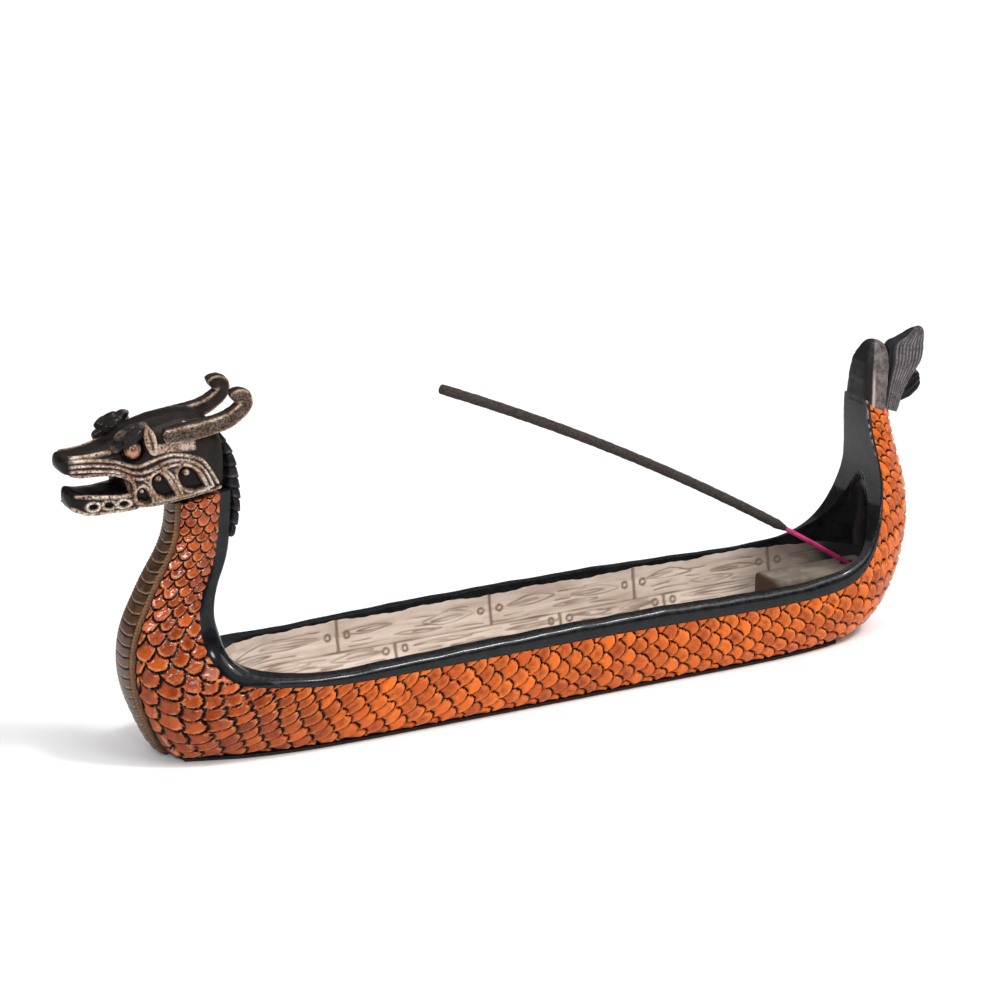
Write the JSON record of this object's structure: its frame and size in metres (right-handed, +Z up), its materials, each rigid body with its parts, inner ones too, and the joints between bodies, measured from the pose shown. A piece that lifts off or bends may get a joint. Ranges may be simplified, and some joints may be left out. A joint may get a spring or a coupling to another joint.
{
  "type": "dragon boat incense burner",
  "caption": "Long narrow dragon boat with a scaled hull, raised dragon head and fish tail, a planked ash trough and a slanting socket that holds a removable incense stick over it.",
  "frame": {"origin": "bottom centre of the bounding box, on the surface the boat stands on", "axes": "+X from the bow (dragon head) to the stern (tail), +Z up, the boat's left side towards -Y"},
  "size_m": [0.2532, 0.0426, 0.0955],
  "materials": {
    "scales": "hand-painted orange-brown scales with dark crevices under gloss varnish",
    "black": "black satin paint with worn grey edges",
    "bronze": "dark bronze-brown paint, light edge lines, gloss varnish",
    "plank": "pale beige planks with brown wash in the grooves",
    "block": "pale beige, dusty, brown wash at the edges",
    "felt": "thin dark felt",
    "charcoal": "charcoal paint dry-brushed with copper and cream",
    "copper": "copper paint over charcoal",
    "fin": "grey-brown with fine pale rays",
    "incense": "matt charcoal-brown powder coat",
    "bamboo": "pink-dyed bamboo"
  },
  "bodies": {
    "burner": {"hull_shell": "scales", "gunwale_trim": "black", "breast_band": "bronze", "base_pad": "felt", "plank_liner": "plank", "stick_block": "block", "dragon_skull": "charcoal", "lower_jaw": "charcoal", "eye_left": "copper", "eye_right": "copper", "brow_left": "charcoal", "brow_right": "charcoal", "ear_left": "copper", "ear_right": "copper", "horn_left": "charcoal", "horn_right": "charcoal", "mane_crest": "black", "tail_lobe_fore": "fin", "tail_lobe_main": "fin", "tail_lobe_lower": "fin"},
    "incense_stick": {"incense_core": "bamboo", "incense_coat": "incense"}
  },
  "joints": [
    {"name": "stick_pull", "type": "slide", "parent": "burner", "child": "incense_stick", "axis": [-0.8339, 0, 0.5519], "range_m": [0, 0.155]}
  ]
}
